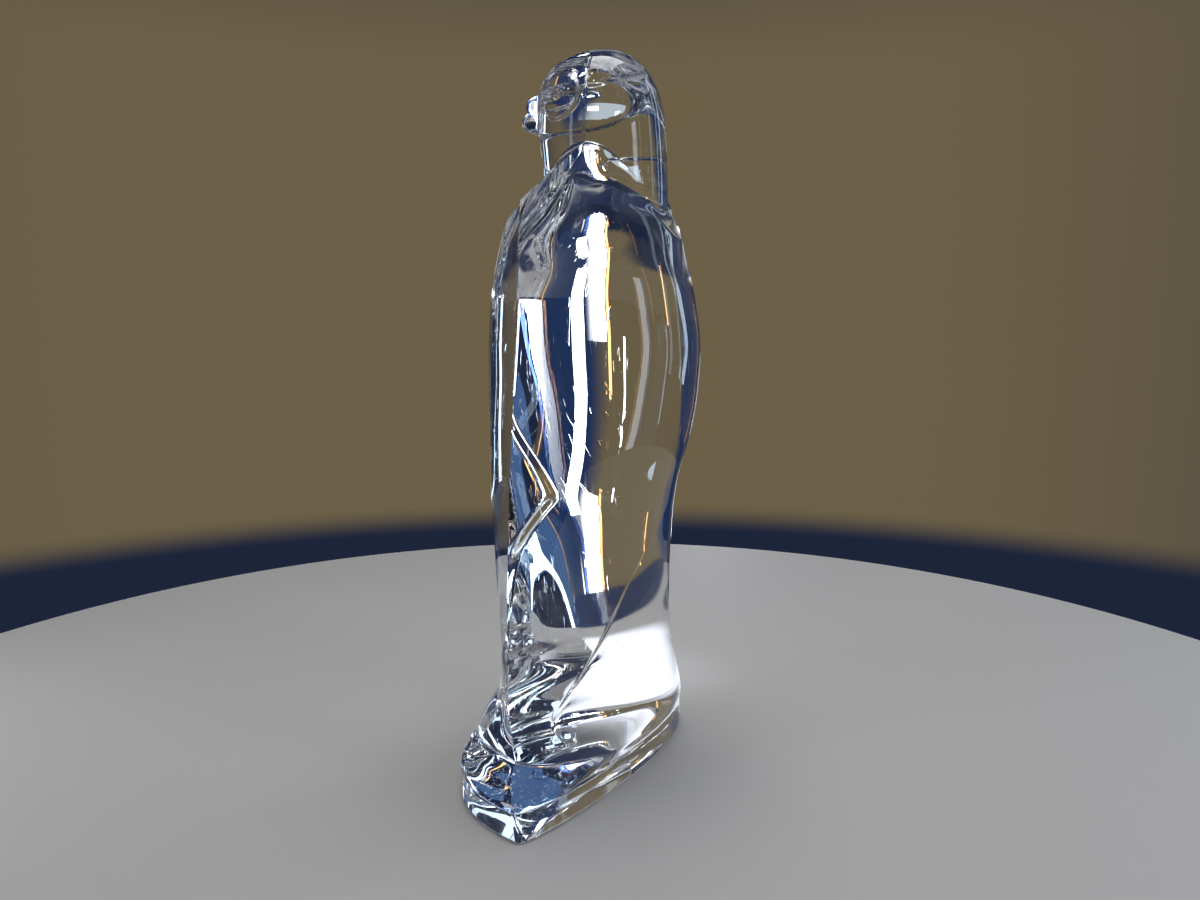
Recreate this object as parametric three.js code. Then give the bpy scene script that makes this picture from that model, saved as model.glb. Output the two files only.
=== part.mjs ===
// A solid clear crystal falcon that stands on its own foot: body, folded wings,
// tail and turned head are one piece, cut and polished from a single block.
// Millimetres, +Z up. The breast faces -Y, the tail +Y, the bird's left side is +X.
import * as THREE from 'three';

// Driving size. The carving below is written as shares of this height.
const HEIGHT = 240;

// Foot, wings, neck and head, in millimetres on a bird of that height
const FOOT_BEVEL = 0.8;
const WING_RIM_HEIGHT = 2.0;
const WING_RIM_WIDTH = 1.6;
const WING_RIM_SPREAD = 22;
const COLLAR_STEP = 1.3;
const COLLAR_EDGE = 1.0;
const HOOD_STEP = 0.7;
const NECK_OFFSET = 1.9;
const EYE_DEPTH = 1.0;
const BROW_HEIGHT = 0.8;
const CHEEK_HEIGHT = 0.9;

// Directions in degrees around the upright axis, from the back ridge to the bird's right
const BEAK_TURN = -69.5;
const HOOD_CREASE = 87.5;
const EYE_TURN = 52;

// How finely the surface is divided around
const RIGHT_WING_COLUMNS = 13;
const RIGHT_BREAST_COLUMNS = 14;
const LEFT_WING_COLUMNS = 17;
const LEFT_BREAST_COLUMNS = 21;
const OUTLINE_POINTS = 90;

// Levels where the rows change from the body to the shoulders and from the neck to the head
const SHOULDER_LEVEL = 0.7;
const SHOULDER_START = 0.715;
const COLLAR_LEVEL = 0.787;
const HEAD_LEVEL = 0.88;
const SHOULDER_ROWS = 7;
const SHELF_ROWS = 2;
const NECK_ROWS = 5;

const GLASS_COLOUR = 0xe9f1f6;

// Cross-sections from the ground to the shoulders, as shares of the height: the level, how
// far the back ridge reaches and lies to the right, the reach of both sides and the breast,
// where each side is widest, and how full the rear quarters are.
const SECTION_KEYS = ['level', 'rear', 'shift', 'right', 'left', 'front', 'wideRight', 'wideLeft', 'full'];
const SECTIONS = [
  [0, 0.268, 0.068, 0.089, 0.107, 0.198, -0.1, -0.15, 1],
  [0.036, 0.266, 0.06, 0.088, 0.108, 0.195, -0.1, -0.15, 1],
  [0.04, 0.258, 0.05, 0.087, 0.111, 0.194, -0.09, -0.15, 1],
  [0.048, 0.222, 0.02, 0.089, 0.12, 0.191, -0.07, -0.14, 0.9],
  [0.058, 0.192, 0, 0.093, 0.124, 0.187, -0.05, -0.12, 0.8],
  [0.08, 0.197, 0, 0.097, 0.12, 0.176, -0.03, -0.1, 0.72],
  [0.1, 0.2, 0, 0.097, 0.117, 0.165, -0.02, -0.08, 0.68],
  [0.12, 0.203, 0, 0.098, 0.111, 0.154, -0.02, -0.05, 0.63],
  [0.145, 0.204, 0, 0.098, 0.1, 0.143, -0.02, -0.03, 0.57],
  [0.18, 0.205, 0, 0.096, 0.095, 0.134, -0.02, -0.02, 0.55],
  [0.22, 0.204, 0, 0.094, 0.1, 0.13, -0.02, -0.02, 0.55],
  [0.28, 0.204, 0, 0.096, 0.109, 0.128, -0.02, -0.02, 0.55],
  [0.34, 0.201, 0, 0.101, 0.121, 0.131, -0.02, -0.02, 0.55],
  [0.41, 0.198, 0, 0.112, 0.133, 0.14, -0.02, -0.02, 0.55],
  [0.47, 0.193, 0, 0.129, 0.14, 0.152, -0.02, -0.02, 0.55],
  [0.54, 0.187, 0, 0.139, 0.145, 0.163, -0.02, -0.02, 0.55],
  [0.6, 0.182, 0, 0.1435, 0.147, 0.163, -0.02, -0.02, 0.55],
  [0.666, 0.177, 0, 0.136, 0.144, 0.155, -0.02, -0.02, 0.55],
  [0.7, 0.1755, 0, 0.1295, 0.135, 0.147, -0.02, -0.02, 0.56],
  [0.728, 0.174, 0, 0.119, 0.124, 0.138, -0.02, -0.02, 0.58],
  [0.76, 0.1765, 0, 0.107, 0.112, 0.125, -0.015, -0.015, 0.62],
  [0.787, 0.1786, 0, 0.096, 0.098, 0.11, -0.01, -0.01, 0.68],
];

// The wing's edge: how far round each side it lies at each level, in degrees from the
// ridge. It runs down beside the breast, turns at the thigh and slants back to the tail.
const WING_EDGE = [
  [0.036, 40], [0.048, 36], [0.07, 26], [0.085, 19], [0.1, 15.5], [0.12, 14], [0.14, 17.5],
  [0.168, 23.8], [0.218, 36], [0.281, 54], [0.31, 66],
  [0.336, 79], [0.351, 86.4], [0.371, 95.5], [0.392, 104], [0.42, 102], [0.48, 94], [0.56, 87],
  [0.62, 84], [0.7, 85], [0.787, 85],
];
const WING_RIM = [[0.08, 0], [0.12, 0.6], [0.2, 1], [0.7, 1], [0.76, 0]];

// Profiles of the neck and head: reach to the face, to the nape and to both sides
const FACE_REACH = [
  [0.78, 0.0885], [0.8476, 0.0876], [0.8715, 0.0915], [0.885, 0.0925], [0.911, 0.092], [0.9437, 0.09],
  [0.9567, 0.0875], [0.9697, 0.082], [0.9762, 0.077], [0.983, 0.0665], [0.9891, 0.0539], [0.994, 0.0425],
  [0.9975, 0.031], [0.9993, 0.019], [1, 0.004],
];
const NAPE_REACH = [
  [0.78, 0.0885], [0.8182, 0.0875], [0.8476, 0.0863], [0.8715, 0.0853], [0.911, 0.0822], [0.9437, 0.0751],
  [0.9567, 0.069], [0.9697, 0.0613], [0.9762, 0.0555], [0.983, 0.0485], [0.9891, 0.0409], [0.994, 0.031],
  [0.9975, 0.02], [0.9993, 0.011], [1, 0.004],
];
const SIDE_REACH = [
  [0.78, 0.0885], [0.8476, 0.0882], [0.885, 0.0885], [0.911, 0.0868], [0.9437, 0.0795], [0.9567, 0.0735],
  [0.9697, 0.065], [0.9762, 0.0595], [0.983, 0.0515], [0.9891, 0.0425], [0.994, 0.033], [0.9975, 0.023],
  [0.9993, 0.013], [1, 0.004],
];
const BEAK_REACH = [
  [0.887, 0], [0.8935, 0.004], [0.8972, 0.0125], [0.9004, 0.0212], [0.9041, 0.028], [0.908, 0.0303],
  [0.9124, 0.031], [0.917, 0.0298], [0.9203, 0.0272], [0.9225, 0.0238], [0.9253, 0.023], [0.929, 0.0246],
  [0.9335, 0.0253], [0.938, 0.0244], [0.941, 0.0222], [0.9437, 0.0172], [0.946, 0.0085], [0.949, 0.0025],
  [0.953, 0],
];
const BEAK_SPREAD = [[0.887, 9], [0.905, 8.5], [0.917, 10.5], [0.925, 13], [0.94, 13.5], [0.953, 15]];
const BODY_ROWS = [
  0.036, 0.04, 0.045, 0.051, 0.058, 0.068, 0.08, 0.094, 0.11, 0.128, 0.148, 0.172, 0.198, 0.226, 0.256,
  0.286, 0.314, 0.34, 0.362, 0.382, 0.402, 0.43, 0.464, 0.502, 0.542, 0.582, 0.622, 0.662, 0.7,
];
const HEAD_ROWS = [
  0.88, 0.8875, 0.8935, 0.8972, 0.9005, 0.9041, 0.9085, 0.9135, 0.9185, 0.922, 0.9253, 0.9295, 0.9335,
  0.9375, 0.941, 0.9437, 0.946, 0.9495, 0.9545, 0.9595, 0.965, 0.9705, 0.976, 0.983, 0.9891, 0.994, 0.9975, 0.9993,
];

const mix = (a, b, t) => a + (b - a) * t;
const clamp01 = (t) => Math.min(1, Math.max(0, t));
const radians = (degrees) => degrees * Math.PI / 180;

function ease(from, to, value) {
  const t = clamp01((value - from) / (to - from));
  return t * t * (3 - 2 * t);
}

// Reads a list of [level, value] pairs, with straight runs between them
function readList(list, level) {
  if (level <= list[0][0]) return list[0][1];
  for (let i = 1; i < list.length; i += 1) {
    if (level <= list[i][0]) {
      const t = (level - list[i - 1][0]) / (list[i][0] - list[i - 1][0]);
      return mix(list[i - 1][1], list[i][1], t);
    }
  }
  return list[list.length - 1][1];
}

function bump(distance, width) {
  const t = distance / width;
  return Math.exp(-t * t);
}

// Cross-section values at one level
function sectionAt(level) {
  const section = {};
  SECTION_KEYS.forEach((key, i) => {
    section[key] = readList(SECTIONS.map((row) => [row[0], row[i]]), level);
  });
  return section;
}

// One half of a cross-section, from the ridge round to the middle of the breast, as a
// list of direction, reach and length run so far
function halfOutline(level, side) {
  const s = sectionAt(level);
  const widest = side > 0 ? s.wideRight : s.wideLeft;
  const half = side > 0 ? s.right : s.left;
  const points = [];
  for (let i = 0; i <= OUTLINE_POINTS; i += 1) {
    const t = i / OUTLINE_POINTS * Math.PI / 2;
    const profile = mix(1 - 2 * t / Math.PI, Math.cos(t), s.full);
    const forward = widest - (s.rear + widest) * profile;
    const right = mix(s.shift, side * half, Math.sin(t));
    points.push([forward, right]);
  }
  for (let i = 1; i <= OUTLINE_POINTS; i += 1) {
    const t = i / OUTLINE_POINTS * Math.PI / 2;
    points.push([mix(widest, s.front, Math.sin(t)), side * half * Math.cos(t)]);
  }
  let run = 0;
  return points.map(([forward, right], i) => {
    if (i > 0) run += Math.hypot(forward - points[i - 1][0], right - points[i - 1][1]);
    const turn = Math.atan2(right, -forward) * 180 / Math.PI * side;
    return { turn, reach: Math.hypot(forward, right), run };
  });
}

function readOutline(outline, key, value, wanted) {
  return readList(outline.map((point) => [point[key], point[wanted]]), value);
}

// Direction of one column of the surface at one level of the body
function bodyTurn(outline, side, column, wingColumns, breastColumns, level) {
  const edge = readList(WING_EDGE, level);
  const total = outline[outline.length - 1].run;
  const wingRun = readOutline(outline, 'turn', edge, 'run');
  const rimRun = wingRun + WING_RIM_WIDTH / HEIGHT;
  const share = (column - wingColumns - 1) / breastColumns;
  const run = column <= wingColumns ? wingRun * column / wingColumns : mix(rimRun, total, share);
  return side * readOutline(outline, 'run', run, 'turn');
}

// Reach of the body at one direction and level: the wing stands proud of what is beside it
function bodyReach(outline, side, turn, level) {
  const reach = readOutline(outline, 'turn', side * turn, 'reach');
  const away = (side * turn - readList(WING_EDGE, level)) * Math.PI / 180 * reach * HEIGHT;
  const height = WING_RIM_HEIGHT / HEIGHT * readList(WING_RIM, level);
  return away <= 0.3 ? reach : reach - height * bump(away - WING_RIM_WIDTH, WING_RIM_SPREAD);
}

// The line where the turned head meets the collar, high behind and before, low at the sides
function neckLevel(turn) {
  return 0.826 + 0.042 * Math.cos(radians(2 * (turn - BEAK_TURN - HOOD_CREASE)));
}

// The collar's own edge: behind, it stands out from the neck as far as the back ridge
function collarEdge(turn) {
  const side = turn < 0 ? -1 : 1;
  const corner = BEAK_TURN + HOOD_CREASE;
  const joinLevel = neckLevel(side * corner);
  const joinReach = headReach(side * corner, joinLevel) + COLLAR_STEP / HEIGHT;
  if (Math.abs(turn) >= corner) {
    const level = neckLevel(turn) - COLLAR_EDGE / HEIGHT;
    return { level, reach: headReach(turn, level) + COLLAR_STEP / HEIGHT };
  }
  const back = { forward: sectionAt(COLLAR_LEVEL).rear, right: 0 };
  const join = {
    forward: joinReach * Math.cos(radians(corner)),
    right: joinReach * Math.sin(radians(corner)),
  };
  const slope = Math.tan(radians(Math.abs(turn)));
  const t = back.forward * slope / (join.right - (join.forward - back.forward) * slope);
  const level = mix(COLLAR_LEVEL, joinLevel - COLLAR_EDGE / HEIGHT, t);
  return { level, reach: Math.hypot(mix(back.forward, join.forward, t), join.right * t) };
}

// Reach between the body's top section and the collar's edge
function shoulderReach(outline, side, turn, level) {
  const collar = collarEdge(turn);
  const body = bodyReach(outline, side, turn, level);
  const late = Math.min(0.775, collar.level - 0.03);
  const start = mix(SHOULDER_START, late, ease(10, 32, Math.abs(turn)));
  const t = clamp01((level - start) / (collar.level - start));
  const share = mix(t ** 1.7, ease(0, 1, t), ease(20, 48, Math.abs(turn)));
  return mix(body, collar.reach, share);
}

// Reach of the neck and head, with hood crease, brow, eye, cheek and beak
function headReach(turn, level) {
  const fromBeak = Math.abs(((turn - BEAK_TURN + 540) % 360) - 180);
  const ends = fromBeak < 90 ? readList(FACE_REACH, level) : readList(NAPE_REACH, level);
  const c = Math.cos(radians(fromBeak)) / ends;
  const s = Math.sin(radians(fromBeak)) / readList(SIDE_REACH, level);
  let reach = 1 / Math.hypot(c, s);
  const crown = 1 - ease(0.97, 0.985, level);
  reach -= HOOD_STEP / HEIGHT * crown * (1 - ease(HOOD_CREASE - 1.2, HOOD_CREASE + 1.2, fromBeak));
  const sharp = (fromBeak / readList(BEAK_SPREAD, level)) ** 2.2;
  reach += readList(BEAK_REACH, level) * Math.exp(-sharp);
  const cheek = Math.hypot((fromBeak - 60) / 22.5, (level - 0.929) / 0.031);
  reach += CHEEK_HEIGHT / HEIGHT * (1 - ease(0.8, 1.05, cheek));
  const brow = Math.abs((fromBeak - 47) / 28) ** 3 + Math.abs((level - 0.9535) / 0.0135) ** 3;
  reach += BROW_HEIGHT / HEIGHT * (1 - ease(0.5, 1.2, brow));
  const lid = level > 0.9325 ? 0.0052 : 0.0085;
  const eye = Math.hypot((fromBeak - EYE_TURN) / 14, (level - 0.9325) / lid);
  reach -= EYE_DEPTH / HEIGHT * (1 - ease(0.7, 1.3, eye));
  return reach;
}

// Directions of the columns on the head, close together at the back ridge, at the face
// and at the hood crease
function spread(turns, stops) {
  for (const { to, steps } of stops) {
    const from = turns[turns.length - 1];
    for (let k = 1; k <= steps; k += 1) turns.push(mix(from, to, k / steps));
  }
  return turns;
}

const RIGHT_HEAD_TURNS = spread([0, 2.2, 4.8, 8, 12.4, 16.8], [
  { to: 19.2, steps: 1 }, { to: 180, steps: 22 },
]);
const LEFT_HEAD_TURNS = spread([0, -2.2, -4.8, -8, -12.4, -18], [
  { to: -58, steps: 9 }, { to: -81, steps: 8 }, { to: -113, steps: 8 },
  { to: -155.8, steps: 6 }, { to: -158.2, steps: 1 }, { to: -180, steps: 2 },
]);

// All rows from the ground to the crown
function makeRows() {
  const bevel = FOOT_BEVEL / HEIGHT;
  const rows = [{ kind: 'body', level: 0, inset: bevel }, { kind: 'body', level: bevel }];
  for (const level of BODY_ROWS) rows.push({ kind: 'body', level });
  for (let i = 1; i <= SHOULDER_ROWS; i += 1) rows.push({ kind: 'shoulder', share: i / SHOULDER_ROWS });
  for (let i = 1; i <= SHELF_ROWS; i += 1) rows.push({ kind: 'shelf', share: i / SHELF_ROWS });
  for (let i = 1; i < NECK_ROWS; i += 1) rows.push({ kind: 'neck', share: i / NECK_ROWS });
  for (const level of HEAD_ROWS) rows.push({ kind: 'head', level });
  return rows;
}

// Direction, reach and level of one point of the surface
function surfacePoint(row, side, column) {
  const wing = side > 0 ? RIGHT_WING_COLUMNS : LEFT_WING_COLUMNS;
  const breast = side > 0 ? RIGHT_BREAST_COLUMNS : LEFT_BREAST_COLUMNS;
  const headTurn = (side > 0 ? RIGHT_HEAD_TURNS : LEFT_HEAD_TURNS)[column];
  if (row.kind === 'body') {
    const outline = halfOutline(row.level, side);
    const turn = bodyTurn(outline, side, column, wing, breast, row.level);
    return { turn, level: row.level, reach: bodyReach(outline, side, turn, row.level) - (row.inset || 0) };
  }
  if (row.kind === 'shoulder') {
    const nominal = mix(SHOULDER_LEVEL, COLLAR_LEVEL, row.share);
    const from = bodyTurn(halfOutline(nominal, side), side, column, wing, breast, nominal);
    const turn = mix(from, headTurn, ease(0, 1, row.share));
    const level = mix(SHOULDER_LEVEL, collarEdge(turn).level, row.share);
    return { turn, level, reach: shoulderReach(halfOutline(level, side), side, turn, level) };
  }
  const turn = headTurn;
  const neck = neckLevel(turn);
  if (row.kind === 'shelf') {
    const collar = collarEdge(turn);
    const level = mix(collar.level, neck, row.share);
    return { turn, level, reach: mix(headReach(turn, neck), collar.reach, (1 - row.share) ** 1.3) };
  }
  const level = row.kind === 'neck' ? mix(neck, HEAD_LEVEL, row.share) : row.level;
  return { turn, level, reach: headReach(turn, level) };
}

function toPosition({ turn, level, reach }) {
  const shift = NECK_OFFSET / HEIGHT * ease(SHOULDER_LEVEL, 0.8, level);
  const right = reach * Math.sin(radians(turn)) + shift;
  const back = reach * Math.cos(radians(turn));
  return new THREE.Vector3(-right, back, level).multiplyScalar(HEIGHT);
}

// The closed skin: rings of points joined by quads, a flat underside and a crown
function makeFalcon() {
  const rightCount = RIGHT_WING_COLUMNS + 1 + RIGHT_BREAST_COLUMNS;
  const leftCount = LEFT_WING_COLUMNS + 1 + LEFT_BREAST_COLUMNS;
  const rings = makeRows().map((row) => {
    const ring = [];
    for (let column = 0; column <= rightCount; column += 1) ring.push(surfacePoint(row, 1, column));
    for (let column = leftCount - 1; column >= 1; column -= 1) ring.push(surfacePoint(row, -1, column));
    return ring.map(toPosition);
  });
  const around = rightCount + leftCount;
  const positions = rings.flat();
  const underside = positions.push(new THREE.Vector3(0, 0, 0)) - 1;
  const crown = positions.push(toPosition({ turn: 0, level: 1, reach: 0 })) - 1;
  const faces = [];
  for (let i = 0; i < around; i += 1) {
    const j = (i + 1) % around;
    faces.push(underside, j, i);
    for (let k = 0; k + 1 < rings.length; k += 1) {
      const low = k * around;
      const high = low + around;
      const [a, b, c, d] = [low + i, low + j, high + j, high + i];
      const first = positions[a].distanceTo(positions[c]) <= positions[b].distanceTo(positions[d]);
      faces.push(...(first ? [a, b, c, a, c, d] : [a, b, d, b, c, d]));
    }
    const top = (rings.length - 1) * around;
    faces.push(top + i, top + j, crown);
  }
  const geometry = new THREE.BufferGeometry().setFromPoints(positions);
  geometry.setIndex(faces);
  geometry.computeBoundingBox();
  const middle = geometry.boundingBox.getCenter(new THREE.Vector3());
  geometry.translate(-middle.x, -middle.y, 0);
  geometry.computeVertexNormals();
  return geometry;
}

const material = new THREE.MeshStandardMaterial({
  color: GLASS_COLOUR,
  transparent: true,
  opacity: 0.35,
  roughness: 0.05,
});
material.name = 'crystal';
const falcon = new THREE.Mesh(makeFalcon(), material);
falcon.name = 'crystal_falcon';

const group = new THREE.Group();
group.name = 'crystal_falcon_sculpture';
group.add(falcon);
export default group;
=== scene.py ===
"""Looks of the clear crystal falcon: one block of cut and polished crystal on a plain floor."""

import logging
import math
from dataclasses import dataclass, field
from enum import Enum

import bmesh
import bpy
import numpy as np
from mathutils import Matrix, Vector


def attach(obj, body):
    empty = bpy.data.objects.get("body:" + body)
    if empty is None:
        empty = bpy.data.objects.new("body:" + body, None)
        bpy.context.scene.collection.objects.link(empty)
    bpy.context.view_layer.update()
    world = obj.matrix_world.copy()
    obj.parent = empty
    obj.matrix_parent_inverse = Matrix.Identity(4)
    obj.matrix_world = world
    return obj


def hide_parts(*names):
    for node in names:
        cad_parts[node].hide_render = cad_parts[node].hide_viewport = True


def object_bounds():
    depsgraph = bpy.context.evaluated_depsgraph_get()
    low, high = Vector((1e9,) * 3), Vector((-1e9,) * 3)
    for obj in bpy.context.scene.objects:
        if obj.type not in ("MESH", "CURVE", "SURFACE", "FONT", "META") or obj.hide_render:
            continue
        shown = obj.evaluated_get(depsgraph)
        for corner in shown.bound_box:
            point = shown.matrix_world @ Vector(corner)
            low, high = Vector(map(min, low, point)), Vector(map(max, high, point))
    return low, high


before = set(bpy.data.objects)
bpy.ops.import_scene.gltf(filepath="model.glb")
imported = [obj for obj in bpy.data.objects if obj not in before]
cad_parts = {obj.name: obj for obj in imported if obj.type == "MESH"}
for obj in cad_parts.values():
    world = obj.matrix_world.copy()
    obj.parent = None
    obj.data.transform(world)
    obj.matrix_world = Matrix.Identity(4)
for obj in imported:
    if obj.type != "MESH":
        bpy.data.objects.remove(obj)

CAD_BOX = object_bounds()
log = logging.getLogger("falcon")
# Height in metres, and a millimetre as a share of it
HEIGHT = 0.240
MM = 1.0 / 240.0
SHOULDER_LEVEL = 0.70
HEAD_LEVEL = 0.88
SEARCH_STEPS = 34
OUTLINE_SAMPLES = 500
# The cards that lie down, painted shade and painted light seen through the crystal, are in the thin gap
# between the floor and the crystal
ON_FLOOR = -0.0001


def mix(a: np.ndarray, b: np.ndarray, t: np.ndarray) -> np.ndarray:
    """Blends two values: a where t is 0, b where t is 1."""
    return a + (b - a) * t


def ease(start: float, end: float, value: np.ndarray) -> np.ndarray:
    """Smooth step of a value, from 0 at the start to 1 at the end."""
    t = np.clip((value - start) / (end - start), 0.0, 1.0)
    return t * t * t * (t * (6.0 * t - 15.0) + 10.0)


def bump(distance: np.ndarray, width: float) -> np.ndarray:
    """Bell-shaped swelling, 1 at its middle and about a third at the width."""
    return np.exp(-((distance / width) ** 2))


class Profile:
    """A value that changes smoothly with the level, read from a few named stations."""

    SAMPLES = 6001

    def __init__(self, stations: list, soft: float = 0.006, crisp_below: float = 0.0) -> None:
        """Prepares the smoothed curve.

        Args:
            stations: pairs of level and value.
            soft: how far, in levels, a change of slope is spread.
            crisp_below: level under which changes of slope stay crisp.
        """
        x = np.array([s[0] for s in stations], float)
        y = np.array([s[1] for s in stations], float)
        self.grid = np.linspace(x[0], x[-1], self.SAMPLES)
        curve = self._hermite(x, y, self.grid)
        if soft > 0.0:
            step = self.grid[1] - self.grid[0]
            half = int(4 * soft / step) + 1
            kernel = np.exp(-0.5 * (np.arange(-half, half + 1) * step / soft) ** 2)
            kernel /= kernel.sum()
            low = 2 * curve[0] - curve[half:0:-1]
            high = 2 * curve[-1] - curve[-2:-half - 2:-1]
            smooth = np.convolve(np.r_[low, curve, high], kernel, mode="valid")
            share = ease(crisp_below, crisp_below + 4 * soft, self.grid) if crisp_below else 1.0
            curve = mix(curve, smooth, share)
        self.curve = curve

    @staticmethod
    def _hermite(x: np.ndarray, y: np.ndarray, at: np.ndarray) -> np.ndarray:
        """Monotone cubic curve through the stations.

        Args:
            x: levels of the stations.
            y: values of the stations.
            at: levels to read.

        Returns:
            Values at those levels.
        """
        h = np.diff(x)
        d = np.diff(y) / h
        m = np.zeros_like(y)
        w1 = 2 * h[1:] + h[:-1]
        w2 = h[1:] + 2 * h[:-1]
        with np.errstate(divide="ignore", invalid="ignore"):
            inner = (w1 + w2) / (w1 / d[:-1] + w2 / d[1:])
        m[1:-1] = np.where(d[:-1] * d[1:] > 0, inner, 0.0)
        m[0], m[-1] = d[0], d[-1]
        k = np.clip(np.searchsorted(x, at) - 1, 0, len(h) - 1)
        t = (at - x[k]) / h[k]
        a = (1 + 2 * t) * (1 - t) ** 2 * y[k] + t * (1 - t) ** 2 * h[k] * m[k]
        return a + t * t * (3 - 2 * t) * y[k + 1] + t * t * (t - 1) * h[k] * m[k + 1]

    def __call__(self, level: np.ndarray) -> np.ndarray:
        """Reads the curve at some levels."""
        return np.interp(level, self.grid, self.curve)


# Cross-sections as shares of the height: level, how far the back ridge reaches and lies to
# the right, reach of both sides and the breast, where each side is widest, and how full
# the rear quarters are.
SECTIONS = (
    (0.000, 0.268, 0.068, 0.089, 0.107, 0.198, -0.100, -0.15, 1.00),
    (0.036, 0.266, 0.060, 0.088, 0.108, 0.195, -0.100, -0.15, 1.00),
    (0.040, 0.258, 0.050, 0.087, 0.111, 0.194, -0.090, -0.15, 1.00),
    (0.048, 0.222, 0.020, 0.089, 0.120, 0.191, -0.070, -0.14, 0.90),
    (0.058, 0.192, 0.000, 0.093, 0.124, 0.187, -0.050, -0.12, 0.80),
    (0.080, 0.197, 0.000, 0.097, 0.120, 0.176, -0.030, -0.10, 0.72),
    (0.100, 0.200, 0.000, 0.097, 0.117, 0.165, -0.020, -0.08, 0.68),
    (0.120, 0.203, 0.000, 0.098, 0.111, 0.154, -0.020, -0.05, 0.63),
    (0.145, 0.204, 0.000, 0.098, 0.100, 0.143, -0.020, -0.03, 0.57),
    (0.180, 0.205, 0.000, 0.096, 0.095, 0.134, -0.020, -0.02, 0.55),
    (0.220, 0.204, 0.000, 0.094, 0.100, 0.130, -0.020, -0.02, 0.55),
    (0.280, 0.204, 0.000, 0.096, 0.109, 0.128, -0.020, -0.02, 0.55),
    (0.340, 0.201, 0.000, 0.101, 0.121, 0.131, -0.020, -0.02, 0.55),
    (0.410, 0.198, 0.000, 0.112, 0.133, 0.140, -0.020, -0.02, 0.55),
    (0.470, 0.193, 0.000, 0.129, 0.140, 0.152, -0.020, -0.02, 0.55),
    (0.540, 0.187, 0.000, 0.139, 0.145, 0.163, -0.020, -0.02, 0.55),
    (0.600, 0.182, 0.000, 0.1435, 0.147, 0.163, -0.020, -0.02, 0.55),
    (0.666, 0.177, 0.000, 0.136, 0.144, 0.155, -0.020, -0.02, 0.55),
    (0.700, 0.1755, 0.000, 0.1295, 0.135, 0.147, -0.020, -0.02, 0.56),
    (0.728, 0.174, 0.000, 0.119, 0.124, 0.138, -0.020, -0.02, 0.58),
    (0.760, 0.1765, 0.000, 0.107, 0.112, 0.125, -0.015, -0.015, 0.62),
    (0.787, 0.1786, 0.000, 0.096, 0.098, 0.110, -0.010, -0.01, 0.68),
    (0.900, 0.1786, 0.000, 0.080, 0.080, 0.100, -0.010, -0.01, 0.68),
)
SECTION_KEYS = ("rear", "shift", "right", "left", "front", "wide_right", "wide_left", "full")

WING_EDGE = (
    (0.0, 40), (0.036, 40), (0.048, 36), (0.07, 26), (0.085, 19), (0.1, 15.5), (0.12, 14),
    (0.14, 17.5), (0.168, 23.8), (0.218, 36), (0.281, 54), (0.31, 66), (0.336, 79),
    (0.351, 86.4), (0.371, 95.5), (0.392, 103), (0.42, 102), (0.48, 94), (0.56, 87),
    (0.62, 84), (0.7, 85), (0.9, 85),
)
WING_RIM = ((0.0, 0), (0.08, 0), (0.12, 0.6), (0.2, 1), (0.7, 1), (0.76, 0), (1, 0))
FACE_REACH = (
    (0.76, 0.0885), (0.8476, 0.0876), (0.8715, 0.0915), (0.885, 0.0925), (0.911, 0.092),
    (0.9437, 0.09), (0.9567, 0.0875), (0.9697, 0.082), (0.9762, 0.077), (0.983, 0.0665),
    (0.9891, 0.0539), (0.994, 0.0425), (0.9975, 0.031), (0.9993, 0.019), (1, 0.004),
)
NAPE_REACH = (
    (0.76, 0.0885), (0.8182, 0.0875), (0.8476, 0.0863), (0.8715, 0.0853), (0.911, 0.0822),
    (0.9437, 0.0751), (0.9567, 0.069), (0.9697, 0.0613), (0.9762, 0.0555), (0.983, 0.0485),
    (0.9891, 0.0409), (0.994, 0.031), (0.9975, 0.02), (0.9993, 0.011), (1, 0.004),
)
SIDE_REACH = (
    (0.76, 0.0885), (0.8476, 0.0882), (0.885, 0.0885), (0.911, 0.0868), (0.9437, 0.0795),
    (0.9567, 0.0735), (0.9697, 0.065), (0.9762, 0.0595), (0.983, 0.0515), (0.9891, 0.0425),
    (0.994, 0.033), (0.9975, 0.023), (0.9993, 0.013), (1, 0.004),
)
BEAK_REACH = (
    (0.7, 0), (0.887, 0), (0.8935, 0.004), (0.8972, 0.0125), (0.9004, 0.0212), (0.9041, 0.028),
    (0.908, 0.0303), (0.9124, 0.031), (0.917, 0.0298), (0.9203, 0.0272), (0.9225, 0.0238),
    (0.9253, 0.023), (0.929, 0.0246), (0.9335, 0.0253), (0.938, 0.0244), (0.941, 0.0222),
    (0.9437, 0.0172), (0.946, 0.0085), (0.949, 0.0025), (0.953, 0), (1, 0),
)
BEAK_SPREAD = (
    (0.7, 9), (0.887, 9), (0.905, 8.5), (0.917, 10.5), (0.925, 13), (0.94, 13.5), (0.953, 15),
    (1, 15),
)


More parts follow.
